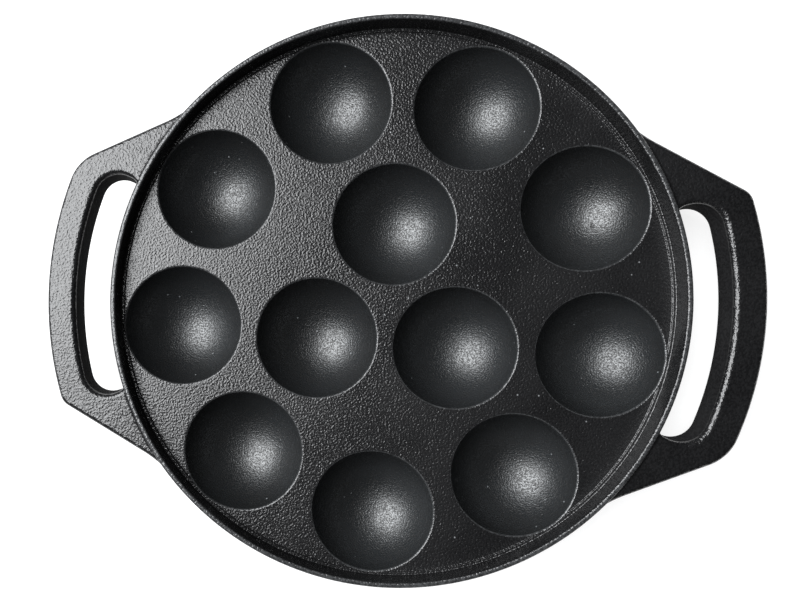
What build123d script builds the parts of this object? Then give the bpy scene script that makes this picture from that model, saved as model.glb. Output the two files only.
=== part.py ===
from build123d import *
import math
import os

# A cast iron pan with twelve round cups in its plate, a raised rim and two
# loop handles. The real pan is one casting. It is divided here where its forms
# meet: the plate, the rim wall, the bowl of each cup below the plate, and the
# two handles. The solids meet face to face and none overlaps another.
#
# Sizes are in millimetres. +Z is up and z = 0 is the surface that the pan
# stands on. +X runs along the handles, and the origin lies under the pan's
# middle.

# Cups
cup_mouth_radius = 24.4
cup_depth = 21.0
cup_lip_rounding = 0.8
cup_floor_thickness = 4.5
cup_root_wall = 4.0
cup_foot_radius = 6.0

# Places of the cups, in degrees from +X
outer_cup_count = 9
outer_ring_radius = 84.7
outer_ring_start = 110.0
inner_cup_count = 3
inner_ring_radius = 32.0
inner_ring_start = 90.0

# Plate
plate_thickness = 5.0
ledge_width = 1.2
ledge_height = 0.5
ledge_slope = 0.4
lip_to_rim_land = 0.5

# Rim wall
rim_height = 8.0
rim_thickness = 2.8
rim_inner_draft = 0.5
rim_outer_rounding = 1.2
rim_inner_rounding = 0.9

# Handles
handle_reach = 27.2
handle_bar_width = 12.0
handle_drop = 1.5
bar_half_angle = 21.0
flank_angle = 26.2
tight_corner_radius = 7.0
round_corner_radius = 18.0
root_blend_lead = 10.5
root_blend_radius = 60.0
root_blend_sweep = 12.0
slot_half_angle = 22.3
slot_corner_radius = 10.0
slot_root_radius = 4.5
slot_side_least = 0.2
handle_edge_rounding = 2.0

# How far the handle's flanks and its slot run on inside the rim's outer face, which cuts them off
flank_inside_length = 13.0
slot_inside_depth = 1.0

# Heights that follow from the sizes above
plate_top = cup_floor_thickness + cup_depth
plate_bottom = plate_top - plate_thickness
rim_top = plate_top + rim_height
handle_top = rim_top - handle_drop
handle_thickness = handle_top - plate_bottom

# The hollow of a cup is part of a ball through its mouth and its floor.
hollow_radius = (cup_mouth_radius**2 + cup_depth**2) / (2 * cup_depth)
hollow_centre = cup_floor_thickness + hollow_radius


def ball_reach(radius, centre, height):
    """The radius of the circle that a ball has at a height."""
    return math.sqrt(radius**2 - (height - centre) ** 2)


# The rounded lip touches the hollow below it and the plate's top beside it.
lip_centre_height = plate_top - cup_lip_rounding
lip_centre_radius = ball_reach(hollow_radius + cup_lip_rounding, hollow_centre, lip_centre_height)
hollow_root_radius = ball_reach(hollow_radius, hollow_centre, plate_bottom)

# The bowl's outer surface is part of a ball through its root and its small flat foot.
bowl_root_radius = hollow_root_radius + cup_root_wall
bowl_centre = (bowl_root_radius**2 + plate_bottom**2 - cup_foot_radius**2) / (2 * plate_bottom)
bowl_radius = math.hypot(cup_foot_radius, bowl_centre)

# Radii from the pan's middle
plate_radius = outer_ring_radius + lip_centre_radius + lip_to_rim_land
rim_radius = plate_radius + rim_thickness
bar_outer_radius = rim_radius + handle_reach
bar_inner_radius = bar_outer_radius - handle_bar_width
slot_inner_radius = rim_radius - slot_inside_depth

# In a narrow slot the corners shrink alike, so that a short straight side stays between them.
slot_corner_room = bar_inner_radius - slot_inner_radius - slot_side_least
slot_corner_share = min(1, slot_corner_room / (slot_corner_radius + slot_root_radius))


def polar(radius, degrees):
    """The point in plan at a radius and an angle from +X."""
    turn = math.radians(degrees)
    return Vector(radius * math.cos(turn), radius * math.sin(turn))


def up_from(point, height):
    """The point in the XZ plane above a radius, at a height."""
    return Vector(point, 0, height)


def spun(*edges):
    """One full turn round Z of a closed outline in the XZ plane."""
    return revolve(make_face(Wire(list(edges))), Axis.Z)


def ring_places(count, radius, start):
    """The centres of cups spread evenly round a ring, clockwise from above."""
    return [polar(radius, start - number * 360 / count) for number in range(count)]


outer_places = ring_places(outer_cup_count, outer_ring_radius, outer_ring_start)
inner_places = ring_places(inner_cup_count, inner_ring_radius, inner_ring_start)


def ball_arc(radius, centre, low, high):
    """The arc of a ball's outline between two points, each a radius and a height."""
    low_turn = math.atan2(low[0], centre - low[1])
    high_turn = math.atan2(high[0], centre - high[1])
    middle = (low_turn + high_turn) / 2
    between = up_from(radius * math.sin(middle), centre - radius * math.cos(middle))
    return ThreePointArc(up_from(*low), between, up_from(*high))


def hollow():
    """The space inside a cup: the ball below, the rounded lip and the room above the plate."""
    share = hollow_radius / (hollow_radius + cup_lip_rounding)
    wall_end = (
        lip_centre_radius * share,
        hollow_centre + (lip_centre_height - hollow_centre) * share,
    )
    floor = (0, cup_floor_thickness)
    lip_start = math.atan2(wall_end[1] - lip_centre_height, wall_end[0] - lip_centre_radius)
    lip_middle = (lip_start % math.tau + math.pi / 2) / 2
    lip_between = up_from(
        lip_centre_radius + cup_lip_rounding * math.cos(lip_middle),
        lip_centre_height + cup_lip_rounding * math.sin(lip_middle),
    )
    lip_end = up_from(lip_centre_radius, plate_top)
    lip_above = up_from(lip_centre_radius, rim_top)
    return spun(
        ball_arc(hollow_radius, hollow_centre, floor, wall_end),
        ThreePointArc(up_from(*wall_end), lip_between, lip_end),
        Line(lip_end, lip_above),
        Line(lip_above, up_from(0, rim_top)),
        Line(up_from(0, rim_top), up_from(*floor)),
    )


def plate():
    """The round plate with a low ledge at its edge, opened by every cup."""
    ledge_inner = plate_radius - ledge_width
    ledge_top = plate_top + ledge_height
    outline = Polyline(
        up_from(0, plate_bottom),
        up_from(plate_radius, plate_bottom),
        up_from(plate_radius, ledge_top),
        up_from(ledge_inner, ledge_top),
        up_from(ledge_inner - ledge_slope, plate_top),
        up_from(0, plate_top),
        close=True,
    )
    cutter = hollow()
    body = spun(*outline.edges())
    for place in outer_places + inner_places:
        body -= Pos(place) * cutter
    return body


def bowl():
    """One cup's bowl below the plate, round its own axis."""
    foot = (cup_foot_radius, 0)
    root = (bowl_root_radius, plate_bottom)
    hollow_root = (hollow_root_radius, plate_bottom)
    floor = (0, cup_floor_thickness)
    return spun(
        Line(up_from(0, 0), up_from(*foot)),
        ball_arc(bowl_radius, bowl_centre, foot, root),
        Line(up_from(*root), up_from(*hollow_root)),
        ball_arc(hollow_radius, hollow_centre, floor, hollow_root),
        Line(up_from(*floor), up_from(0, 0)),
    )


def rounded(outline, corner, radius):
    """A flat outline with its corner nearest to a point rounded."""
    return fillet(outline.vertices().sort_by_distance(corner)[0], radius)


def rim_wall():
    """The raised wall round the plate, drafted inside and rounded along its top."""
    top_outer = up_from(rim_radius, rim_top)
    top_inner = up_from(plate_radius + rim_inner_draft, rim_top)
    outline = Polyline(
        up_from(plate_radius, plate_bottom),
        up_from(rim_radius, plate_bottom),
        top_outer,
        top_inner,
        up_from(plate_radius, plate_top + ledge_height),
        close=True,
    )
    profile = make_face(outline)
    profile = rounded(profile, top_outer, rim_outer_rounding)
    profile = rounded(profile, top_inner, rim_inner_rounding)
    return revolve(profile, Axis.Z)


def way_to_rim(start, heading):
    """How far a straight line goes in plan from a point outside the rim to the rim's outer face."""
    along = start.dot(heading)
    return -along - math.sqrt(along**2 - start.length**2 + rim_radius**2)


def flank(side):
    """One flank of the right handle in plan, from the bar's corner inwards, and where it ends."""
    corner = polar(bar_outer_radius, side * bar_half_angle)
    inward = polar(1, side * (180 - flank_angle))
    straight_length = way_to_rim(corner, inward) - root_blend_lead
    straight = Line(corner, corner + inward * straight_length)
    blend = JernArc(straight @ 1, inward, root_blend_radius, -side * root_blend_sweep)
    heading = polar(1, side * (180 - flank_angle - root_blend_sweep))
    inside = Line(blend.end_of_arc, blend.end_of_arc + heading * flank_inside_length)
    return [straight, blend, inside], inside @ 1


def handle_outline():
    """The plan of the right handle, carried on inside the rim."""
    back_edges, back_end = flank(1)
    front_edges, front_end = flank(-1)
    back_corner = polar(bar_outer_radius, bar_half_angle)
    front_corner = polar(bar_outer_radius, -bar_half_angle)
    bar = ThreePointArc(back_corner, polar(bar_outer_radius, 0), front_corner)
    outline = make_face(Wire([bar, *back_edges, *front_edges, Line(back_end, front_end)]))
    outline = rounded(outline, back_corner, tight_corner_radius)
    return rounded(outline, front_corner, round_corner_radius)


def slot_outline():
    """The finger slot's plan: part of a ring with round corners, just reaching inside the rim's face."""
    back_outer = polar(bar_inner_radius, slot_half_angle)
    front_outer = polar(bar_inner_radius, -slot_half_angle)
    back_inner = polar(slot_inner_radius, slot_half_angle)
    front_inner = polar(slot_inner_radius, -slot_half_angle)
    outline = make_face(
        Wire(
            [
                ThreePointArc(back_outer, polar(bar_inner_radius, 0), front_outer),
                Line(front_outer, front_inner),
                ThreePointArc(front_inner, polar(slot_inner_radius, 0), back_inner),
                Line(back_inner, back_outer),
            ]
        )
    )
    for corner in (back_outer, front_outer):
        outline = rounded(outline, corner, slot_corner_radius * slot_corner_share)
    for corner in (back_inner, front_inner):
        outline = rounded(outline, corner, slot_root_radius * slot_corner_share)
    return outline


def handle():
    """The right handle: a flat loop with rounded edges, cut off by the rim's outer face."""
    plan = handle_outline() - slot_outline()
    loop = extrude(Pos(0, 0, plate_bottom) * plan, handle_thickness)
    levels = loop.edges().group_by(Axis.Z)
    loop = fillet(levels[0] + levels[-1], handle_edge_rounding)
    inside = Pos(0, 0, plate_bottom) * extrude(Circle(rim_radius), handle_thickness)
    return loop - inside


def nodes():
    """Every named piece of the pan, where it lies."""
    pieces = {"plate": plate(), "rim_wall": rim_wall()}
    cup = bowl()
    for ring, places in (("outer", outer_places), ("inner", inner_places)):
        for number, place in enumerate(places, start=1):
            pieces[f"cup_{ring}_{number}"] = Pos(place) * cup
    right = handle()
    pieces["handle_right"] = right
    pieces["handle_left"] = Rot(0, 0, 180) * right
    return pieces


os.makedirs("parts", exist_ok=True)
for name, piece in nodes().items():
    export_step(piece, f"parts/{name}.step")
    print(name, "volume", round(piece.volume), "solids", len(piece.solids()))
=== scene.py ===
import math

import bmesh
import bpy
from bpy.props import FloatProperty, FloatVectorProperty, IntProperty, PointerProperty
from bpy.types import Operator, Panel, PropertyGroup
from mathutils import Euler, Matrix, Vector
from mathutils.geometry import tessellate_polygon


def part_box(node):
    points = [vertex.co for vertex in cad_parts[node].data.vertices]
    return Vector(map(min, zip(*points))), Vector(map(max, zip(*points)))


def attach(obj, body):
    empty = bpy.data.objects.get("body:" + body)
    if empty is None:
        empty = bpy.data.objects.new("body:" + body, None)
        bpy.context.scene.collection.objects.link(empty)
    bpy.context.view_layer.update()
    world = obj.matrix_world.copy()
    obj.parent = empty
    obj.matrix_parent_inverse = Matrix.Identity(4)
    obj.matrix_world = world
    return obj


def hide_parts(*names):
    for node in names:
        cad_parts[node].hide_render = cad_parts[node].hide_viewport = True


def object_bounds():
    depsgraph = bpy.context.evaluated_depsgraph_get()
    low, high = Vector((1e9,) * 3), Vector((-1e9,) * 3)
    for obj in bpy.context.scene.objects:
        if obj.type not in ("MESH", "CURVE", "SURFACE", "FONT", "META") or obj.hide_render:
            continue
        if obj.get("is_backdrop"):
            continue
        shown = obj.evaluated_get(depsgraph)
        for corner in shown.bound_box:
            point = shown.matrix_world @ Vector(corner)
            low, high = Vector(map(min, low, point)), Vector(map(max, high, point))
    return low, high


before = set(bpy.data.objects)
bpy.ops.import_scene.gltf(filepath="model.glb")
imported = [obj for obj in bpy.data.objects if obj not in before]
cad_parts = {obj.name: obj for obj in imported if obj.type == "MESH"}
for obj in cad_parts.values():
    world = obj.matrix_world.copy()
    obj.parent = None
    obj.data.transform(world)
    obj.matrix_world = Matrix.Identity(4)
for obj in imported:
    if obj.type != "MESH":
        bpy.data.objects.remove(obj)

# A cast iron pan with twelve round cups, a raised rim and two loop handles,
# built round its fixed frame. Lengths are in metres. +X runs along the
# handles, +Z is up and the pan stands on z = 0.

bl_info = {
    "name": "Cast Pan with Round Cups",
    "version": (1, 0, 0),
    "blender": (4, 5, 0),
    "location": "View3D > Sidebar > Cast Pan",
    "description": "Builds a cast iron pan with twelve round cups, its finish and its stage",
    "category": "Add Mesh",
}

MM = 0.001
BODY = "root"
CAD_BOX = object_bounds()

# Heights and radii that the frame gives
RIM_LOW, RIM_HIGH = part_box("rim_wall")
PLATE_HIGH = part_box("plate")[1]
BOWL_LOW, BOWL_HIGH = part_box("cup_inner_1")
HANDLE_LOW, HANDLE_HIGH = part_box("handle_right")
RIM_RADIUS = min(RIM_HIGH.x, RIM_HIGH.y)
RIM_TOP = RIM_HIGH.z
PLATE_RADIUS = min(PLATE_HIGH.x, PLATE_HIGH.y)
PLATE_BOTTOM = RIM_LOW.z
LEDGE_TOP = PLATE_HIGH.z
BOWL_ROOT_RADIUS = (BOWL_HIGH.x - BOWL_LOW.x) / 2
HANDLE_REACH = HANDLE_HIGH.x
HANDLE_BOTTOM = HANDLE_LOW.z
HANDLE_TOP = HANDLE_HIGH.z

# How far surfaces that rest on each other reach into one another, so that no crack shows
SEAT_DEPTH = 0.02 * MM

# How far inside the rim's outer face a handle's flanks touch it, its slot ends, its rounded
# edges may reach and its hidden side lies
HANDLE_TANGENT = 0.3 * MM
SLOT_SUNK = 1.0 * MM
HANDLE_INSET_LIMIT = 1.8 * MM
HANDLE_SUNK = 2.0 * MM

# Near which turn from the handle's axis the centre of a flank's root blend lies
ROOT_BLEND_TURN = math.radians(45)

# Points closer than this are one
MERGE_DISTANCE = 0.001 * MM

# The fillets on the handles' tops: their sections, the turns between which they may run, and
# the level room beside the rim at which they end, get small or have their full size
COVE_SECTIONS = 80
COVE_START = math.radians(17)
COVE_END = math.radians(45)
COVE_ROOM_LEAST = 0.15 * MM
COVE_ROOM_SMALL = 0.6 * MM
COVE_ROOM_FULL = 2.5 * MM

# Their least share of the full size and their least size, the steps of their curve, and how
# far their toe reaches into the handle's top
COVE_SHARE_LEAST = 0.25
COVE_LEAST = 0.1 * MM
COVE_STEPS = 6
COVE_TOE = 0.2 * MM

# Where the casting pit lies in its cup, and the attribute that marks the faces of the hollows
PIT_OFFSET = (10.0 * MM, -3.3 * MM)
HOLLOW_MARK = "hollow"

# Steps round a cup, the widest step of an arc, the steps of a handle's edge and outline, and
# how fast its rounding shrinks until it fits
TURN_STEPS = 96
ARC_STEP = math.radians(3.5)
EDGE_STEPS = 7
OUTLINE_ARC_STEP = 1.1 * MM
OUTLINE_ARC_LEAST = 8 * MM
OUTLINE_LINE_STEP = 2 * MM
INSET_SHRINK = 0.97

# Edges sharper than this stay sharp, and a face whose normal leans less than this is level
SHARP_ANGLE = math.radians(35)
LEVEL_NORMAL = 0.99999

# The heights of the grain between which its low places turn into its tops, and the share that
# the tops have in the skin's tone, where the broad patches have the rest
TOPS_LOW = 0.35
TOPS_HIGH = 0.65
TOPS_SHARE = 0.65

# The patches' size against the broad unevenness, and how much they change the roughness
PATCH_SCALE = 2.2
PATCH_ROUGHNESS = 0.12

# The specks' middle and rim as shares of their spacing, and how much of a worn edge is bare in its pores
SPECK_CORE = 0.03
SPECK_RIM = 0.06
PORE_WEAR = 0.3

# The dull side of a handle, as shares of its edge's rounding below its top
DULL_FROM = 0.7
DULL_WHOLE = 1.1


def ring_of_cups(prefix):
    """How many cups a ring of the frame has, its radius and the turn of its first cup."""
    count = sum(name.startswith(prefix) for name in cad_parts)
    low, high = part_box(prefix + "1")
    middle = ((low + high) / 2).xy
    return count, middle.length, math.atan2(middle.y, middle.x)


OUTER_RING = ring_of_cups("cup_outer_")
INNER_RING = ring_of_cups("cup_inner_")


def length(name, description, value, low=0.0):
    """A size property in metres, given in millimetres."""
    return FloatProperty(
        name=name, description=description, default=value * MM, min=low * MM, unit="LENGTH", precision=5
    )


def turn(name, description, value):
    """An angle property, given in degrees."""
    return FloatProperty(
        name=name, description=description, default=math.radians(value), subtype="ANGLE"
    )


def tone(name, description, value):
    """A colour property, given as linear red, green and blue."""
    return FloatVectorProperty(
        name=name, description=description, default=value, size=3, subtype="COLOR", min=0, max=1
    )


def share(name, description, value, high=1.0):
    """A plain number property from 0 up."""
    return FloatProperty(name=name, description=description, default=value, min=0, max=high)


class CupSizes(PropertyGroup):
    """Sizes of the round cups and their places in the plate."""

    mouth_radius: length("Mouth Radius", "Radius of the hollow where its ball meets the plate's top", 24.4)
    depth: length("Depth", "From the plate's top to the bottom of the hollow", 21.0)
    lip_rounding: length("Lip Rounding", "Radius of the rounded edge round the mouth", 0.8)
    foot_radius: length("Foot Radius", "Radius of the flat foot under the cup", 6.0)
    root_fillet: length("Root Fillet", "Radius of the fillet where the bowl leaves the plate", 0.9)
    outer_count: IntProperty(name="Outer Cups", description="Cups in the outer ring", default=OUTER_RING[0])
    outer_radius: length("Outer Ring", "Radius of the outer ring of cups", OUTER_RING[1] / MM)
    outer_start: turn("Outer Start", "Turn of the outer ring", math.degrees(OUTER_RING[2]))
    inner_count: IntProperty(name="Inner Cups", description="Cups in the inner ring", default=INNER_RING[0])
    inner_radius: length("Inner Ring", "Radius of the inner ring of cups", INNER_RING[1] / MM)
    inner_start: turn("Inner Start", "Turn of the inner ring", math.degrees(INNER_RING[2]))


class RimSizes(PropertyGroup):
    """Sizes of the plate's edge and of the raised rim."""

    ledge_width: length("Ledge Width", "Width of the low ledge inside the rim", 1.2)
    ledge_height: length("Ledge Height", "Height of the ledge above the plate", 0.5)
    ledge_slope: length("Ledge Slope", "Width of the ledge's sloping edge", 0.4)
    ledge_rounding: length("Ledge Rounding", "Radius of the ledge's edges", 0.3)
    inner_draft: length("Inner Draft", "How far the rim's inner face leans out to its top", 0.5)
    outer_rounding: length("Outer Rounding", "Radius of the rim's outer top edge", 1.2)
    inner_rounding: length("Inner Rounding", "Radius of the rim's inner top edge", 0.9)
    foot_rounding: length("Foot Rounding", "Radius of the rim's outer bottom edge", 0.6)
    cove: length("Cove", "Radius of the fillet where the rim rises from the ledge", 0.45)


class HandleSizes(PropertyGroup):
    """Sizes of the loop handles."""

    bar_width: length("Bar Width", "Width of the outer bar", 12.0)
    bar_half_angle: turn("Bar Half Angle", "Half of the turn that the outer bar spans", 21.0)
    flank_angle: turn("Flank Angle", "Turn of the flanks from the handle's axis", 26.2)
    back_corner: length("Back Corner", "Radius of the tighter outer corner", 7.0)
    front_corner: length("Front Corner", "Radius of the softer outer corner", 18.0)
    root_blend: length("Root Blend", "Radius of the flank's blend into the rim", 48.0)
    slot_half_angle: turn("Slot Half Angle", "Half of the turn that the finger slot spans", 22.3)
    slot_corner: length("Slot Corner", "Radius of the slot's outer corners", 10.0)
    slot_root: length("Slot Root", "Radius of the slot's corners beside the rim", 4.5)
    slot_draft: length("Slot Draft", "How much wider the bar is at its bottom", 0.8)
    edge_rounding: length("Edge Rounding", "Radius of the handle's edges", 2.0)
    cove: length("Cove", "Radius of the fillet between the handle's top and the rim", 1.0)


class FinishLook(PropertyGroup):
    """Colours and grain of the seasoned iron."""

    skin_dark: tone("Skin Dark", "Darker tone of the cast skin", (0.003, 0.003, 0.0033))
    skin_light: tone("Skin Light", "Lighter tone of the cast skin", (0.010, 0.010, 0.0105))
    cup_dark: tone("Cup Dark", "Darker tone inside the cups", (0.004, 0.004, 0.004))
    cup_light: tone("Cup Light", "Lighter tone inside the cups", (0.009, 0.010, 0.011))
    skin_roughness: share("Skin Roughness", "Roughness of the cast skin", 0.21)
    cup_roughness: share("Cup Roughness", "Roughness inside the cups", 0.25)
    pore_roughness: share("Pore Roughness", "How much rougher the low places of the grain are", 0.08)
    cup_pore_roughness: share("Cup Pore Roughness", "The same for the grain inside the cups", 0.30)
    grain_size: length("Grain Size", "Size of the sand grain on the plate, rim and handles", 0.85)
    grain_depth: length("Grain Depth", "Depth of that grain", 0.25)
    cup_grain_size: length("Cup Grain Size", "Size of the finer grain inside the cups", 0.60)
    cup_grain_depth: length("Cup Grain Depth", "Depth of the finer grain", 0.24)
    rim_coarseness: share("Rim Coarseness", "Grain depth on the rim against the plate's", 1.0, 5)
    wave_size: length("Wave Size", "Size of the broad unevenness of the casting", 14.0)
    wave_depth: length("Wave Depth", "Depth of the broad unevenness", 0.10)
    bare_iron: tone("Bare Iron", "Tone of the worn edges and of the bright specks", (0.30, 0.31, 0.32))
    edge_wear: share("Edge Wear", "How much bare iron shows at the cup lips and the rim's top", 0.14)
    cup_oil: share("Cup Oil", "Strength of the oily sheen inside the cups", 0.55)
    oil_roughness: share("Oil Roughness", "Roughness of that sheen", 0.30)
    oil_tint: tone("Oil Tint", "Tint of that sheen", (0.93, 0.98, 1.0))
    dull_roughness: share("Dull Roughness", "Roughness of the handles' dull sides", 0.9)
    dull_gloss: share("Dull Gloss", "Specular level of the handles' dull sides", 0.08)
    speck_spacing: length("Speck Spacing", "Distance between the small bright specks", 7.0)
    speck_share: share("Speck Share", "How bright the specks are", 0.5)
    pit_radius: length("Pit Radius", "Radius of the casting pit in one cup", 1.1)


class Value:
    """A node socket in an expression. Each operation adds its Math node."""

    def __init__(self, graph, socket):
        self.graph = graph
        self.socket = socket

    def math(self, operation, *values):
        """One Math node on some values."""
        inputs = dict(enumerate(values))
        return self.graph.node("ShaderNodeMath", {"operation": operation}, inputs)

    def __add__(self, other):
        return self.math("ADD", self, other)

    def __radd__(self, other):
        return self.math("ADD", other, self)

    def __sub__(self, other):
        return self.math("SUBTRACT", self, other)

    def __rsub__(self, other):
        return self.math("SUBTRACT", other, self)

    def __mul__(self, other):
        return self.math("MULTIPLY", self, other)

    def __rmul__(self, other):
        return self.math("MULTIPLY", other, self)

    def __truediv__(self, other):
        return self.math("DIVIDE", self, other)

    def __rtruediv__(self, other):
        return self.math("DIVIDE", other, self)

    def __mod__(self, other):
        return self.math("FLOORED_MODULO", self, other)

    def floor(self):
        return self.math("FLOOR", self)

    def between(self, low, high):
        """0 below low, 1 above high, and a smooth step between them."""
        inputs = {"Value": self, "From Min": low, "From Max": high}
        return self.graph.node("ShaderNodeMapRange", {"interpolation_type": "SMOOTHSTEP"}, inputs)


class Graph:
    """A node tree written as calls and expressions."""

    def __init__(self, tree):
        self.tree = tree

    def feed(self, socket, value):
        """Links a value to a socket, or sets the socket to a plain value."""
        if isinstance(value, Value):
            self.tree.links.new(value.socket, socket)
        elif isinstance(value, (tuple, list)) and isinstance(value[0], Value):
            for one in value:
                self.tree.links.new(one.socket, socket)
        else:
            socket.default_value = value

    def node(self, kind, settings=None, inputs=None, output=0):
        """Adds a node with its settings first and then its sockets, and returns one of its outputs."""
        made = self.tree.nodes.new(kind)
        for name, value in (settings or {}).items():
            setattr(made, name, value)
        for name, value in (inputs or {}).items():
            self.feed(made.inputs[name], value)
        return Value(self, made.outputs[output]) if made.outputs else made

    def mix(self, factor, first, second):
        """A colour mixed from two colours."""
        made = self.tree.nodes.new("ShaderNodeMix")
        made.data_type = "RGBA"
        for name, value in (("Factor_Float", factor), ("A_Color", first), ("B_Color", second)):
            socket = next(one for one in made.inputs if one.identifier == name)
            self.feed(socket, value)
        result = next(one for one in made.outputs if one.identifier == "Result_Color")
        return Value(self, result)


def arc(centre, radius, start, end):
    """Points of an arc in a plane, both ends included."""
    steps = max(2, math.ceil(abs(end - start) / ARC_STEP))
    turns = [start + (end - start) * number / steps for number in range(steps + 1)]
    return [Vector((centre[0] + radius * math.cos(t), centre[1] + radius * math.sin(t))) for t in turns]


def corner_arc(before, corner, after, radius):
    """Points that round the corner of two straight lines."""
    back = (before - corner).normalized()
    forth = (after - corner).normalized()
    half = back.angle(forth) / 2
    centre = corner + (back + forth).normalized() * (radius / math.sin(half))
    reach = radius / math.tan(half)
    first = corner + back * reach - centre
    last = corner + forth * reach - centre
    start = math.atan2(first.y, first.x)
    swing = (math.atan2(last.y, last.x) - start + math.pi) % math.tau - math.pi
    return arc(centre, radius, start, start + swing)


def rounded_path(corners):
    """A path in a plane from corners, each a point and the radius that rounds it."""
    path = []
    points = [Vector(point) for point, radius in corners]
    for number, (point, radius) in enumerate(corners):
        if radius:
            path += corner_arc(points[number - 1], points[number], points[number + 1], radius)
        else:
            path.append(points[number])
    return path


class CupForm:
    """Where the surfaces of a cup lie, worked out from its sizes. Heights are from the rest plane."""

    def __init__(self, cups, plate_top):
        self.plate_top = plate_top
        self.floor = plate_top - cups.depth
        self.hollow = (cups.mouth_radius**2 + cups.depth**2) / (2 * cups.depth)
        self.middle = self.floor + self.hollow
        self.lip = cups.lip_rounding
        self.lip_height = plate_top - self.lip
        self.lip_radius = self.reach(self.hollow + self.lip, self.middle, self.lip_height)
        self.foot = cups.foot_radius
        self.bowl_middle = (BOWL_ROOT_RADIUS**2 + PLATE_BOTTOM**2 - self.foot**2) / (2 * PLATE_BOTTOM)
        self.bowl = math.hypot(self.foot, self.bowl_middle)
        self.fillet = cups.root_fillet

    @staticmethod
    def reach(radius, middle, height):
        """The radius of the circle that a ball has at a height."""
        return math.sqrt(radius**2 - (height - middle) ** 2)

    def hollow_arc(self, low, high):
        """The hollow's outline between two heights, from the lower to the higher."""
        turns = [math.asin((height - self.middle) / self.hollow) for height in (low, high)]
        return arc((0, self.middle), self.hollow, *turns)

    def cutter(self):
        """The outline of what a cup takes out of the plate, from the axis and back to it."""
        share_out = self.hollow / (self.hollow + self.lip)
        wall_top = self.middle + (self.lip_height - self.middle) * share_out
        toward = math.atan2(self.middle - self.lip_height, -self.lip_radius)
        low = PLATE_BOTTOM - self.lip
        above = LEDGE_TOP + self.lip
        wall = self.hollow_arc(low, PLATE_BOTTOM) + self.hollow_arc(PLATE_BOTTOM, wall_top)[1:]
        lip = arc((self.lip_radius, self.lip_height), self.lip, toward, math.pi / 2)
        return [Vector((0, low)), *wall, *lip[1:], Vector((self.lip_radius, above)), Vector((0, above))]

    def shell(self):
        """The outline of the bowl below the plate, from its foot up its outside and down its inside."""
        bottom = PLATE_BOTTOM
        fillet_height = bottom - self.fillet
        fillet_radius = self.reach(self.bowl + self.fillet, self.bowl_middle, fillet_height)
        toward = math.atan2(self.bowl_middle - fillet_height, -fillet_radius)
        root = arc((fillet_radius, fillet_height), self.fillet, math.pi / 2, toward)
        low = -math.asin(self.bowl_middle / self.bowl)
        high = math.atan2(fillet_height - self.bowl_middle, fillet_radius)
        outside = arc((0, self.bowl_middle), self.bowl, high, low)
        inside = self.hollow_arc(self.floor, bottom)
        seat = Vector((fillet_radius, bottom + SEAT_DEPTH))
        inner_seat = Vector((inside[-1].x, bottom))
        return [Vector((0, 0)), *reversed(root[1:] + outside[1:]), seat, inner_seat, *reversed(inside[:-1])]


def plate_outline(rim):
    """The outline of the plate and its ledge before the cups are cut, from the axis and back to it."""
    ledge_inner = PLATE_RADIUS - rim.ledge_width
    ledge_foot = ledge_inner - rim.ledge_slope
    top = LEDGE_TOP - rim.ledge_height
    return rounded_path(
        [
            ((0, PLATE_BOTTOM), 0),
            ((PLATE_RADIUS, PLATE_BOTTOM), 0),
            ((PLATE_RADIUS, LEDGE_TOP), 0),
            ((ledge_inner, LEDGE_TOP), rim.ledge_rounding),
            ((ledge_foot, top), rim.ledge_rounding),
            ((0, top), 0),
        ]
    )


def rim_outline(rim):
    """The closed outline of the rim's section: foot, outer face, top, inner face and cove."""
    inner_top = PLATE_RADIUS + rim.inner_draft
    toe = PLATE_RADIUS - rim.cove
    cove = arc((toe, LEDGE_TOP + rim.cove), rim.cove, 0, -math.pi / 2)
    body = rounded_path(
        [
            ((PLATE_RADIUS, PLATE_BOTTOM), 0),
            ((RIM_RADIUS, PLATE_BOTTOM), rim.foot_rounding),
            ((RIM_RADIUS, RIM_TOP), rim.outer_rounding),
            ((inner_top, RIM_TOP), rim.inner_rounding),
            (tuple(cove[0]), 0),
        ]
    )
    return [*body, *cove[1:-1], Vector((toe, LEDGE_TOP - SEAT_DEPTH)), body[0]]


def outline_object(name, path):
    """A bare chain of edges in the XZ plane, which a node tree spins."""
    mesh = bpy.data.meshes.new(name)
    mesh.from_pydata([(p.x, 0, p.y) for p in path], [(n, n + 1) for n in range(len(path) - 1)], [])
    made = bpy.data.objects.new(name, mesh)
    bpy.context.scene.collection.objects.link(made)
    return made


def new_tree(name, sockets):
    """A geometry node tree with named inputs and one geometry output."""
    tree = bpy.data.node_groups.new(name, "GeometryNodeTree")
    for label, kind in sockets.items():
        tree.interface.new_socket(label, in_out="INPUT", socket_type="NodeSocket" + kind)
    tree.interface.new_socket("Geometry", in_out="OUTPUT", socket_type="NodeSocketGeometry")
    graph = Graph(tree)
    group_input = tree.nodes.new("NodeGroupInput")
    given = {label: Value(graph, group_input.outputs[label]) for label in sockets}
    return graph, given


def finish_tree(graph, geometry):
    """Links the last geometry to the tree's output."""
    output = graph.tree.nodes.new("NodeGroupOutput")
    graph.feed(output.inputs["Geometry"], geometry)
    return graph.tree


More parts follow.
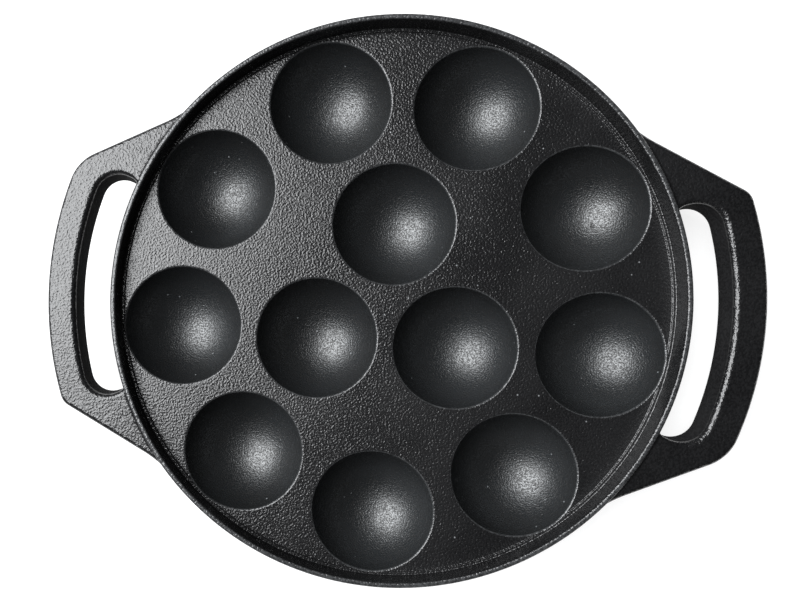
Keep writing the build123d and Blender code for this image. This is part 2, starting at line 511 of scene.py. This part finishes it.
def spin_tree():
    """A tree that spins an outline round Z: a grid of turns by outline points is rolled up."""
    graph, given = new_tree("spin_outline", {"Outline": "Object", "Turns": "Int"})
    outline = graph.node("GeometryNodeObjectInfo", inputs={"Object": given["Outline"]}, output="Geometry")
    size = {"component": "MESH"}
    count = graph.node("GeometryNodeAttributeDomainSize", size, {"Geometry": outline}, "Point Count")
    columns = {"Vertices X": given["Turns"] + 1, "Vertices Y": count}
    grid = graph.node("GeometryNodeMeshGrid", inputs=columns)
    index = graph.node("GeometryNodeInputIndex")
    sample = {"data_type": "FLOAT_VECTOR", "domain": "POINT"}
    place = graph.node("GeometryNodeInputPosition")
    at = {"Geometry": outline, "Value": place, "Index": index % count}
    point = graph.node("GeometryNodeSampleIndex", sample, at)
    radius = graph.node("ShaderNodeSeparateXYZ", inputs={0: point}, output="X")
    height = graph.node("ShaderNodeSeparateXYZ", inputs={0: point}, output="Z")
    angle = (index / count).floor() / given["Turns"] * math.tau
    across = radius * angle.math("COSINE", angle)
    along = radius * angle.math("SINE", angle)
    rolled = graph.node("ShaderNodeCombineXYZ", inputs={"X": across, "Y": along, "Z": height})
    spun = graph.node("GeometryNodeSetPosition", inputs={"Geometry": grid, "Position": rolled})
    merge = {"Geometry": spun, "Distance": MERGE_DISTANCE}
    return finish_tree(graph, graph.node("GeometryNodeMergeByDistance", inputs=merge))


RING_SOCKETS = {"Count": "Int", "Ring Radius": "Float", "Ring Start": "Float"}


def ring_tree():
    """A tree that spreads points evenly round a ring."""
    graph, given = new_tree("ring_of_points", RING_SOCKETS)
    size = {"Vertices": given["Count"], "Radius": given["Ring Radius"]}
    circle = graph.node("GeometryNodeMeshCircle", inputs=size)
    turned = graph.node("ShaderNodeCombineXYZ", inputs={"Z": given["Ring Start"]})
    circle = graph.node("GeometryNodeTransform", inputs={"Geometry": circle, "Rotation": turned})
    return finish_tree(graph, graph.node("GeometryNodeMeshToPoints", inputs={"Mesh": circle}))


def group(graph, tree, inputs):
    """A group node in a tree."""
    return graph.node("GeometryNodeGroup", {"node_tree": tree}, inputs)


CUP_SOCKETS = {
    "Outer Count": "Int",
    "Outer Radius": "Float",
    "Outer Start": "Float",
    "Inner Count": "Int",
    "Inner Radius": "Float",
    "Inner Start": "Float",
}


def cups_tree():
    """A tree that spins one cup's outline and sets it in both rings of places."""
    spin, ring = spin_tree(), ring_tree()
    graph, given = new_tree("rings_of_cups", {"Outline": "Object", "Turns": "Int", **CUP_SOCKETS})
    cup = group(graph, spin, {"Outline": given["Outline"], "Turns": given["Turns"]})
    places = []
    for name in ("Outer", "Inner"):
        inputs = {
            "Count": given[name + " Count"],
            "Ring Radius": given[name + " Radius"],
            "Ring Start": given[name + " Start"],
        }
        places.append(group(graph, ring, inputs))
    points = graph.node("GeometryNodeJoinGeometry", inputs={"Geometry": places})
    cups = graph.node("GeometryNodeInstanceOnPoints", inputs={"Points": points, "Instance": cup})
    real = graph.node("GeometryNodeRealizeInstances", inputs={"Geometry": cups})
    return finish_tree(graph, real), spin


def end_of_tree(graph, geometry, metal):
    """The last nodes of every piece's tree: real geometry, smooth faces and the material."""
    real = graph.node("GeometryNodeRealizeInstances", inputs={"Geometry": geometry})
    smooth = graph.node("GeometryNodeSetShadeSmooth", inputs={"Geometry": real})
    clad = graph.node("GeometryNodeSetMaterial", inputs={"Geometry": smooth, "Material": metal})
    return finish_tree(graph, clad)


def piece_from_tree(name, tree, values):
    """A plain mesh piece from a geometry node tree and the values of its named inputs."""
    holder = bpy.data.objects.new(name + "_maker", bpy.data.meshes.new(name + "_maker"))
    bpy.context.scene.collection.objects.link(holder)
    modifier = holder.modifiers.new("maker", "NODES")
    modifier.node_group = tree
    for socket in tree.interface.items_tree:
        if socket.in_out == "INPUT":
            modifier[socket.identifier] = values[socket.name]
    bpy.context.view_layer.update()
    depsgraph = bpy.context.evaluated_depsgraph_get()
    mesh = bpy.data.meshes.new_from_object(holder.evaluated_get(depsgraph))
    if not mesh.polygons:
        raise RuntimeError(f"the node tree of {name} made no faces")
    bpy.data.objects.remove(holder)
    mesh.name = name
    piece = bpy.data.objects.new(name, mesh)
    bpy.context.scene.collection.objects.link(piece)
    return piece


def hold(piece, nodes):
    """Seats a piece in the frame: its body and the nodes that it stands for."""
    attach(piece, BODY)
    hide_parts(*nodes)


def shade(mesh):
    """Keeps sharp edges sharp, and shades level faces flat so that rounded edges don't tilt them."""
    mesh.set_sharp_from_angle(angle=SHARP_ANGLE)
    for face in mesh.polygons:
        face.use_smooth = abs(face.normal.z) < LEVEL_NORMAL


def cup_values(cups, outline):
    """The named inputs of a tree that sets cups in their rings."""
    return {
        "Outline": outline,
        "Turns": TURN_STEPS,
        "Outer Count": cups.outer_count,
        "Outer Radius": cups.outer_radius,
        "Outer Start": cups.outer_start,
        "Inner Count": cups.inner_count,
        "Inner Radius": cups.inner_radius,
        "Inner Start": cups.inner_start,
    }


def centre_beside(start, heading, offset, distance, nearest):
    """The centre of an arc at an offset to the left of a line and at a distance from the origin."""
    base = start + Vector((-heading.y, heading.x)) * offset
    along = base.dot(heading)
    root = math.sqrt(along**2 - base.length_squared + distance**2)
    turns = [base + heading * (-along + sign * root) for sign in (1, -1)]
    return min(turns, key=lambda point: (point - nearest).length)


def direction(turned):
    """A unit vector in plan at a turn from +X."""
    return Vector((math.cos(turned), math.sin(turned)))


class Outline:
    """Part of a handle's plan: points, each with the way into the metal and whether it is the slot's."""

    def __init__(self):
        self.points = []

    def arc(self, centre, radius, start, end, solid_inside, slot=False):
        """An arc whose metal lies inside or outside its circle."""
        swing = (end - start + math.pi) % math.tau - math.pi
        steps = max(2, math.ceil(abs(swing) * max(radius, OUTLINE_ARC_LEAST) / OUTLINE_ARC_STEP))
        for number in range(steps + 1):
            outward = direction(start + swing * number / steps)
            inward = -outward if solid_inside else outward
            self.points.append((centre + outward * radius, inward, slot))

    def line(self, start, end, inward, slot=False):
        """A straight stretch without its two ends."""
        steps = math.ceil((end - start).length / OUTLINE_LINE_STEP)
        for number in range(1, steps):
            self.points.append((start.lerp(end, number / steps), inward, slot))


def angle_of(vector):
    """The turn of a vector in plan from +X."""
    return math.atan2(vector.y, vector.x)


def flank_points(outline, handle, side, corner_radius):
    """One outer corner, flank and root blend of the right handle, from the bar's end to the rim."""
    start = direction(side * handle.bar_half_angle) * HANDLE_REACH
    heading = direction(side * (math.pi - handle.flank_angle))
    inward = Vector((-heading.y, heading.x)) * side
    corner = centre_beside(start, heading, side * corner_radius, HANDLE_REACH - corner_radius, start)
    sunk = RIM_RADIUS - HANDLE_TANGENT
    root_near = direction(side * ROOT_BLEND_TURN) * (sunk + handle.root_blend)
    root = centre_beside(start, heading, -side * handle.root_blend, sunk + handle.root_blend, root_near)
    outline.arc(corner, corner_radius, angle_of(corner), angle_of(-inward), True)
    outline.line(corner - inward * corner_radius, root + inward * handle.root_blend, inward)
    outline.arc(root, handle.root_blend, angle_of(inward), angle_of(-root), False)
    return angle_of(corner)


def slot_points(outline, handle, side):
    """One end of the finger slot, from the bar's inner edge round to the rim."""
    bar_inner = HANDLE_REACH - handle.bar_width
    slot_inner = RIM_RADIUS - SLOT_SUNK
    heading = direction(side * handle.slot_half_angle)
    origin = Vector((0, 0))
    far = heading * bar_inner
    corner = centre_beside(origin, heading, -side * handle.slot_corner, bar_inner - handle.slot_corner, far)
    near = heading * slot_inner
    root = centre_beside(origin, heading, -side * handle.slot_root, slot_inner + handle.slot_root, near)
    sideways = Vector((-heading.y, heading.x)) * side
    outline.arc(corner, handle.slot_corner, angle_of(corner), angle_of(sideways), False, True)
    outline.line(corner + sideways * handle.slot_corner, root + sideways * handle.slot_root, sideways, True)
    outline.arc(root, handle.slot_root, angle_of(sideways), angle_of(-root), False, True)
    return angle_of(corner)


def rim_points(start, end):
    """The handle's hidden side inside the rim wall, between two turns."""
    outline = Outline()
    outline.arc(Vector((0, 0)), RIM_RADIUS - HANDLE_SUNK, start, end, False)
    return [(point, Vector((0, 0)), False) for point, inward, slot in outline.points[1:-1]]


def handle_outline(handle):
    """The closed plan of the right handle, counterclockwise, as points with their inward directions."""
    halves = {}
    for side, corner_radius in ((1, handle.back_corner), (-1, handle.front_corner)):
        outer, slot = Outline(), Outline()
        outer_end = flank_points(outer, handle, side, corner_radius)
        slot_end = slot_points(slot, handle, side)
        halves[side] = (outer.points, outer_end, slot.points, slot_end)
    origin = Vector((0, 0))
    bar, inner = Outline(), Outline()
    bar.arc(origin, HANDLE_REACH, halves[-1][1], halves[1][1], True)
    bar_inner = HANDLE_REACH - handle.bar_width
    inner.arc(origin, bar_inner, halves[1][3], halves[-1][3], False, True)
    around = halves[-1][0][::-1] + bar.points[1:-1] + halves[1][0]
    back = halves[1][2][::-1] + inner.points[1:-1] + halves[-1][2]
    ends = [angle_of(point) for point, inward, slot in (around[-1], back[0], back[-1], around[0])]
    return around + rim_points(*ends[:2]) + back + rim_points(*ends[2:])


def handle_rings(handle):
    """The rings of points that make the handle, from the middle of its bottom round to its top."""
    points = handle_outline(handle)
    limit = RIM_RADIUS - HANDLE_INSET_LIMIT
    rings = []
    turns = [math.pi / 2 * number / EDGE_STEPS for number in range(EDGE_STEPS + 1)]
    rows = [(turned, "bottom") for turned in turns] + [(turned, "top") for turned in reversed(turns)]
    for turned, end in rows:
        ring = []
        for point, inward, slot in points:
            room = handle.edge_rounding * inward.length
            while room and (point + inward * room).length < limit:
                room *= INSET_SHRINK
            base = point - inward * handle.slot_draft if slot and end == "bottom" else point
            inset = room * (1 - math.sin(turned))
            rise = room * (1 - math.cos(turned))
            height = HANDLE_BOTTOM + SEAT_DEPTH + rise if end == "bottom" else HANDLE_TOP - rise
            ring.append((*(base + inward * inset), height))
        rings.append(ring)
    return rings


def fill_between(bm, rings, closed=True):
    """Quads between rings of vertices."""
    faces = []
    for low, high in zip(rings, rings[1:]):
        count = len(low)
        for number in range(count if closed else count - 1):
            after = (number + 1) % count
            faces.append(bm.faces.new((low[number], low[after], high[after], high[number])))
    return faces


def room_beside_rim(ring, turned):
    """How far the level top of the handle runs outwards from the rim, at a turn."""
    ray = direction(turned)
    across = Vector((-ray.y, ray.x))
    reach = []
    for first, second in zip(ring, ring[1:] + ring[:1]):
        start, end = Vector(first[:2]), Vector(second[:2])
        start_side, end_side = start.dot(across), end.dot(across)
        if start_side * end_side <= 0 and start_side != end_side:
            radius = start.lerp(end, start_side / (start_side - end_side)).dot(ray)
            if radius > RIM_RADIUS:
                reach.append(radius - RIM_RADIUS)
    return min(reach) if len(reach) % 2 else 0


def cove_section(radius, rounding):
    """The section of a fillet between the handle's top and the rim's rounded edge, as radius and height."""
    edge = Vector((RIM_RADIUS - rounding, RIM_TOP - rounding))
    rise = HANDLE_TOP + radius - edge.y
    middle = edge + Vector((math.sqrt((rounding + radius) ** 2 - rise**2), rise))
    touch = angle_of(edge - middle) % math.tau
    curve = arc(middle, radius, touch, math.pi * 1.5)
    even = [curve[round(number * (len(curve) - 1) / COVE_STEPS)] for number in range(COVE_STEPS + 1)]
    inside = Vector((RIM_RADIUS - rounding, HANDLE_TOP - rounding))
    return [*even, Vector((middle.x, HANDLE_TOP - COVE_TOE)), inside]


def cove_strips(bm, handle, rounding, ring):
    """Closed fillets along the rim on the handle's top. They thin out where the top runs out."""
    for side in (1, -1):
        sections = []
        for number in range(COVE_SECTIONS):
            turned = side * (COVE_START + (COVE_END - COVE_START) * number / (COVE_SECTIONS - 1))
            room = room_beside_rim(ring, turned)
            if room > COVE_ROOM_LEAST:
                size = room / 2
                if room > COVE_ROOM_SMALL:
                    size = handle.cove * min(1, COVE_SHARE_LEAST + room / COVE_ROOM_FULL)
                section = cove_section(max(size, COVE_LEAST), rounding)
                ray = direction(turned)
                sections.append([bm.verts.new((*(ray * point.x), point.y)) for point in section])
        for face in fill_between(bm, sections):
            face.smooth = True
        bm.faces.new(sections[0])
        bm.faces.new(sections[-1][::-1])


def handle_mesh(name, handle, rounding):
    """The right handle's mesh: rounded walls, level top and bottom."""
    bm = bmesh.new()
    shape = handle_rings(handle)
    rings = [[bm.verts.new(point) for point in ring] for ring in shape]
    for face in fill_between(bm, rings):
        face.smooth = True
    for ring in (rings[0], rings[-1]):
        for corners in tessellate_polygon([[vertex.co for vertex in ring]]):
            bm.faces.new([ring[number] for number in corners])
    bmesh.ops.remove_doubles(bm, verts=bm.verts, dist=MERGE_DISTANCE)
    cove_strips(bm, handle, rounding, shape[-1])
    bmesh.ops.recalc_face_normals(bm, faces=bm.faces)
    mesh = bpy.data.meshes.new(name)
    bm.to_mesh(mesh)
    bm.free()
    return mesh


# The floor: its width, its two tones, how many clouds of tone it has in a metre, and its even glow
FLOOR_WIDTH = 6.0
FLOOR_DARK = (0.30, 0.30, 0.30)
FLOOR_LIGHT = (0.33, 0.33, 0.33)
FLOOR_CLOUDS = 6.0
FLOOR_GLOW = 0.82


def pale_floor(name):
    """A pale matt floor with faint clouds of tone, which glows evenly so that it stays pale."""
    material = bpy.data.materials.new(name)
    material.use_nodes = True
    material.node_tree.nodes.clear()
    graph = Graph(material.node_tree)
    place = graph.node("ShaderNodeTexCoord", output="Object")
    cloud = graph.node("ShaderNodeTexNoise", inputs={"Vector": place, "Scale": FLOOR_CLOUDS, "Detail": 2.0})
    colour = graph.mix(cloud, (*FLOOR_DARK, 1), (*FLOOR_LIGHT, 1))
    shader = graph.node(
        "ShaderNodeBsdfPrincipled",
        inputs={
            "Base Color": colour,
            "Roughness": 0.8,
            "Specular IOR Level": 0.2,
            "Emission Color": (1, 1, 1, 1),
            "Emission Strength": FLOOR_GLOW,
        },
    )
    graph.node("ShaderNodeOutputMaterial", inputs={"Surface": shader})
    return material


def blend(first, second, factor):
    """A plain number or Value between two others."""
    return first + (second - first) * factor


def iron_material(name, coarseness, inside_cups=None, worn_edge=None, dull_sides=None, pit=None):
    """Seasoned cast iron: sand grain over a broad unevenness, oily patches and worn edges.

    The cups are finer and oilier: inside_cups gives, from the tree and the height, how much of their look
    shows. From the height, worn_edge gives how much bare iron shows and dull_sides how much dull soot.
    A pit is a hole in the casting.
    """
    look = bpy.context.scene.pan_finish
    material = bpy.data.materials.new(name)
    material.use_nodes = True
    material.node_tree.nodes.clear()
    graph = Graph(material.node_tree)
    place = graph.node("ShaderNodeTexCoord", output="Object")
    height = graph.node("ShaderNodeSeparateXYZ", inputs={0: place}, output="Z")
    cup = inside_cups(graph, height) if inside_cups else 0.0

    def noise(size, detail, hardness=0.5):
        inputs = {"Vector": place, "Scale": 1 / size, "Detail": detail, "Roughness": hardness}
        return graph.node("ShaderNodeTexNoise", inputs=inputs)

    coarse = noise(look.grain_size, 1.0)
    fine = noise(look.cup_grain_size, 1.0)
    wave = noise(look.wave_size, 2.0)
    patch = noise(PATCH_SCALE * look.wave_size, 3.0)
    speck_inputs = {"Vector": place, "Scale": 1 / look.speck_spacing}
    speck = 1 - graph.node("ShaderNodeTexVoronoi", inputs=speck_inputs).between(SPECK_CORE, SPECK_RIM)
    grain = blend(coarse * (look.grain_depth * coarseness), fine * look.cup_grain_depth, cup)
    relief = grain + wave * look.wave_depth
    if pit:
        away = graph.node("ShaderNodeVectorMath", {"operation": "DISTANCE"}, {0: place, 1: pit}, "Value")
        core = look.pit_radius / 3
        relief = relief + away.between(core, look.pit_radius) * core
    normal = graph.node("ShaderNodeBump", inputs={"Height": relief, "Distance": 1.0, "Strength": 1.0})
    tops = blend(coarse, fine, cup).between(TOPS_LOW, TOPS_HIGH)
    worn = blend(patch.between(TOPS_LOW, TOPS_HIGH), tops, TOPS_SHARE)
    skin = graph.mix(worn, (*look.skin_dark, 1), (*look.skin_light, 1))
    season = graph.mix(worn, (*look.cup_dark, 1), (*look.cup_light, 1))
    seasoned = graph.mix(cup, skin, season)
    colour = graph.mix(speck * look.speck_share, seasoned, (*look.bare_iron, 1))
    pores = (1 - tops) * blend(look.pore_roughness, look.cup_pore_roughness, cup)
    roughness = blend(look.skin_roughness, look.cup_roughness, cup) + pores
    inputs = {"Roughness": roughness + (patch - 0.5) * PATCH_ROUGHNESS, "Normal": normal}
    if worn_edge:
        bare = worn_edge(height) * blend(PORE_WEAR, 1, tops) * look.edge_wear
        colour = graph.mix(bare, colour, (*look.bare_iron, 1))
        inputs["Metallic"] = bare
    if inside_cups:
        inputs["Coat Weight"] = cup * tops * look.cup_oil
        inputs["Coat Roughness"] = look.oil_roughness
        inputs["Coat Tint"] = (*look.oil_tint, 1)
    shader = graph.node("ShaderNodeBsdfPrincipled", inputs={"Base Color": colour, **inputs})
    if dull_sides:
        dull = {"Base Color": colour, "Normal": normal}
        dull["Roughness"] = look.dull_roughness
        dull["Specular IOR Level"] = look.dull_gloss
        soot = graph.node("ShaderNodeBsdfPrincipled", inputs=dull)
        shader = graph.node("ShaderNodeMixShader", inputs={0: dull_sides(height), 1: shader, 2: soot})
    graph.node("ShaderNodeOutputMaterial", inputs={"Surface": shader})
    return material


def rim_iron():
    """The rim's iron, with an edge worn bare along its top."""
    look = bpy.context.scene.pan_finish
    low = RIM_TOP - bpy.context.scene.pan_rim.inner_rounding / 2

    def top(height):
        return height.between(low, RIM_TOP)

    return iron_material("rim_iron", look.rim_coarseness, worn_edge=top)


def handle_iron():
    """The handles' iron, with the plate's grain on top and dull sides that no hand has polished."""
    rounding = bpy.context.scene.pan_handle.edge_rounding

    def sides(height):
        return 1 - height.between(HANDLE_TOP - rounding * DULL_WHOLE, HANDLE_TOP - rounding * DULL_FROM)

    return iron_material("handle_iron", 1, dull_sides=sides)


def plate_iron():
    """The plate's iron: grainy on top and below, finer where it is a cup's wall, and worn at the lips."""
    deck = LEDGE_TOP - bpy.context.scene.pan_rim.ledge_height
    lip = bpy.context.scene.pan_cups.lip_rounding

    def wall(graph, height):
        above = height.between(PLATE_BOTTOM, PLATE_BOTTOM + SEAT_DEPTH)
        return above * (1 - height.between(deck - lip, deck - lip / 4))

    def lips(height):
        return height.between(deck - lip, deck - lip / 2) * (1 - height.between(deck - lip / 8, deck))

    return iron_material("plate_iron", 1, wall, lips)


def cup_iron():
    """The cups' iron: finer grain, an oily sheen, and a small casting pit in one cup."""
    cups = bpy.context.scene.pan_cups
    form = CupForm(cups, LEDGE_TOP - bpy.context.scene.pan_rim.ledge_height)
    middle = sum(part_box("cup_outer_3"), Vector()) / 2
    pit = Vector((middle.x + PIT_OFFSET[0], middle.y + PIT_OFFSET[1], 0))
    away = math.hypot(*PIT_OFFSET)
    pit.z = form.middle - math.sqrt(form.hollow**2 - away**2)

    def inside(graph, height):
        return graph.node("ShaderNodeAttribute", {"attribute_name": HOLLOW_MARK}, output="Fac")

    return iron_material("cup_iron", 1, inside_cups=inside, pit=pit)


class PAN_OT_plate(Operator):
    """Makes the plate: a spun disc with its ledge, opened by every cup"""

    bl_idname = "pan.plate"
    bl_label = "Plate"

    def execute(self, context):
        cups, rim = context.scene.pan_cups, context.scene.pan_rim
        form = CupForm(cups, LEDGE_TOP - rim.ledge_height)
        disc = outline_object("plate_outline", plate_outline(rim))
        cutter = outline_object("cutter_outline", form.cutter())
        rings, spin = cups_tree()
        sockets = {"Disc": "Object", "Outline": "Object", "Turns": "Int", **CUP_SOCKETS}
        graph, given = new_tree("plate_with_cups", sockets)
        body = group(graph, spin, {"Outline": given["Disc"], "Turns": given["Turns"] * 2})
        hollows = group(graph, rings, {name: given[name] for name in ("Outline", "Turns", *CUP_SOCKETS)})
        cut = {"operation": "DIFFERENCE", "solver": "MANIFOLD"}
        opened = graph.node("GeometryNodeMeshBoolean", cut, {"Mesh 1": body, "Mesh 2": hollows})
        merge = {"Geometry": opened, "Distance": MERGE_DISTANCE}
        clean = graph.node("GeometryNodeMergeByDistance", inputs=merge)
        tree = end_of_tree(graph, clean, plate_iron())
        piece = piece_from_tree("plate_casting", tree, {"Disc": disc, **cup_values(cups, cutter)})
        shade(piece.data)
        hold(piece, ["plate"])
        for outline in (disc, cutter):
            bpy.data.objects.remove(outline)
        return {"FINISHED"}


class PAN_OT_bowls(Operator):
    """Makes the bowls of all cups below the plate, in their two rings"""

    bl_idname = "pan.bowls"
    bl_label = "Cup Bowls"

    def execute(self, context):
        cups, rim = context.scene.pan_cups, context.scene.pan_rim
        form = CupForm(cups, LEDGE_TOP - rim.ledge_height)
        outline = outline_object("bowl_outline", form.shell())
        rings, spin = cups_tree()
        graph, given = new_tree("cup_bowls", {"Outline": "Object", "Turns": "Int", **CUP_SOCKETS})
        bowls = group(graph, rings, given)
        normal = graph.node("GeometryNodeInputNormal")
        upward = graph.node("ShaderNodeSeparateXYZ", inputs={0: normal}, output="Z")
        mark = {"Geometry": bowls, "Name": HOLLOW_MARK, "Value": upward.math("GREATER_THAN", upward, 0)}
        marked = graph.node("GeometryNodeStoreNamedAttribute", {"domain": "FACE"}, mark)
        tree = end_of_tree(graph, marked, cup_iron())
        piece = piece_from_tree("cup_bowls", tree, cup_values(cups, outline))
        shade(piece.data)
        hold(piece, [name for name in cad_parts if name.startswith("cup_")])
        bpy.data.objects.remove(outline)
        return {"FINISHED"}


class PAN_OT_rim(Operator):
    """Makes the raised rim with its rounded top and its cove"""

    bl_idname = "pan.rim"
    bl_label = "Rim"

    def execute(self, context):
        outline = outline_object("rim_outline", rim_outline(context.scene.pan_rim))
        graph, given = new_tree("spun_rim", {"Outline": "Object", "Turns": "Int"})
        body = group(graph, spin_tree(), given)
        tree = end_of_tree(graph, body, rim_iron())
        piece = piece_from_tree("rim_casting", tree, {"Outline": outline, "Turns": TURN_STEPS * 3})
        shade(piece.data)
        hold(piece, ["rim_wall"])
        bpy.data.objects.remove(outline)
        return {"FINISHED"}


class PAN_OT_handles(Operator):
    """Makes the two loop handles with their finger slots"""

    bl_idname = "pan.handles"
    bl_label = "Handles"

    def execute(self, context):
        rounding = context.scene.pan_rim.outer_rounding
        right = handle_mesh("handle_right_casting", context.scene.pan_handle, rounding)
        right.materials.append(handle_iron())
        left = right.copy()
        left.name = "handle_left_casting"
        left.transform(Matrix.Rotation(math.pi, 4, "Z"))
        for mesh, node in ((right, "handle_right"), (left, "handle_left")):
            piece = bpy.data.objects.new(mesh.name, mesh)
            context.scene.collection.objects.link(piece)
            hold(piece, [node])
        return {"FINISHED"}


# The camera: its place over the pan, its turns about X, Y and Z, and its off-centre view
CAMERA_PLACE = Vector((-25.85, -12.35, 310.69)) * MM
CAMERA_TURNS = (-0.879, 5.874, 4.097)
CAMERA_LENS = 31.25
CAMERA_SENSOR = 36.0
CAMERA_SHIFT = (0.1875, 0.05)

# Soft lights that face the pan's middle: name, place, width, height and power
PAN_MIDDLE = (0.0, 0.0, 0.02)
LIGHTS = (
    ("left_softbox", (-0.664, 0.190, 0.904), 1.04, 0.95, 42.0),
)
LIGHT_COLOUR = (0.97, 0.985, 1.0)
AIR_STRENGTH = 0.04


class PAN_OT_stage(Operator):
    """Makes the floor, the soft lights and the camera"""

    bl_idname = "pan.stage"
    bl_label = "Stage"

    def execute(self, context):
        scene = context.scene
        half = FLOOR_WIDTH / 2
        mesh = bpy.data.meshes.new("studio_floor")
        corners = [(-half, -half, 0), (half, -half, 0), (half, half, 0), (-half, half, 0)]
        mesh.from_pydata(corners, [], [(0, 1, 2, 3)])
        mesh.materials.append(pale_floor("pale_floor"))
        floor = bpy.data.objects.new("studio_floor", mesh)
        scene.collection.objects.link(floor)
        floor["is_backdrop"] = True

        world = bpy.data.worlds.new("studio_air")
        world.use_nodes = True
        backdrop = world.node_tree.nodes["Background"]
        backdrop.inputs["Color"].default_value = (1.0, 1.0, 1.0, 1)
        backdrop.inputs["Strength"].default_value = AIR_STRENGTH
        scene.world = world
        scene.view_settings.view_transform = "Standard"

        for name, place, width, height, power in LIGHTS:
            lamp = bpy.data.lights.new(name, "AREA")
            lamp.shape = "RECTANGLE"
            lamp.size = width
            lamp.size_y = height
            lamp.energy = power
            lamp.color = LIGHT_COLOUR
            holder = bpy.data.objects.new(name, lamp)
            aim = Vector(PAN_MIDDLE) - Vector(place)
            holder.location = place
            holder.rotation_euler = aim.to_track_quat("-Z", "Y").to_euler()
            scene.collection.objects.link(holder)

        lens = bpy.data.cameras.new("studio_camera")
        lens.lens = CAMERA_LENS
        lens.sensor_width = CAMERA_SENSOR
        lens.shift_x, lens.shift_y = CAMERA_SHIFT
        camera = bpy.data.objects.new("studio_camera", lens)
        camera.location = CAMERA_PLACE
        camera.rotation_euler = Euler([math.radians(turned) for turned in CAMERA_TURNS], "XYZ")
        scene.collection.objects.link(camera)
        scene.camera = camera
        return {"FINISHED"}


class PAN_PT_sidebar(Panel):
    """Lists the pan's pieces and their sizes in the sidebar"""

    bl_idname = "PAN_PT_sidebar"
    bl_label = "Cast Pan"
    bl_space_type = "VIEW_3D"
    bl_region_type = "UI"
    bl_category = "Cast Pan"

    def draw(self, context):
        layout = self.layout
        for operator in OPERATORS:
            layout.operator(operator.bl_idname)
        for name, settings in SETTINGS.items():
            box = layout.box()
            for label in settings.__annotations__:
                box.prop(getattr(context.scene, name), label)


OPERATORS = (PAN_OT_stage, PAN_OT_plate, PAN_OT_bowls, PAN_OT_rim, PAN_OT_handles)
SETTINGS = {"pan_cups": CupSizes, "pan_rim": RimSizes, "pan_handle": HandleSizes, "pan_finish": FinishLook}


def register():
    for kind in (*SETTINGS.values(), *OPERATORS, PAN_PT_sidebar):
        bpy.utils.register_class(kind)
    for name, kind in SETTINGS.items():
        setattr(bpy.types.Scene, name, PointerProperty(type=kind))


def unregister():
    for name in SETTINGS:
        delattr(bpy.types.Scene, name)
    for kind in (PAN_PT_sidebar, *OPERATORS, *SETTINGS.values()):
        bpy.utils.unregister_class(kind)


def main():
    """Makes the stage and every piece."""
    register()
    bpy.ops.pan.stage()
    bpy.ops.pan.plate()
    bpy.ops.pan.bowls()
    bpy.ops.pan.rim()
    bpy.ops.pan.handles()
    boxes = {"cad": CAD_BOX, "visual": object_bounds()}
    boxes = {name: [list(corner) for corner in box] for name, box in boxes.items()}


if __name__ == "__main__":
    main()
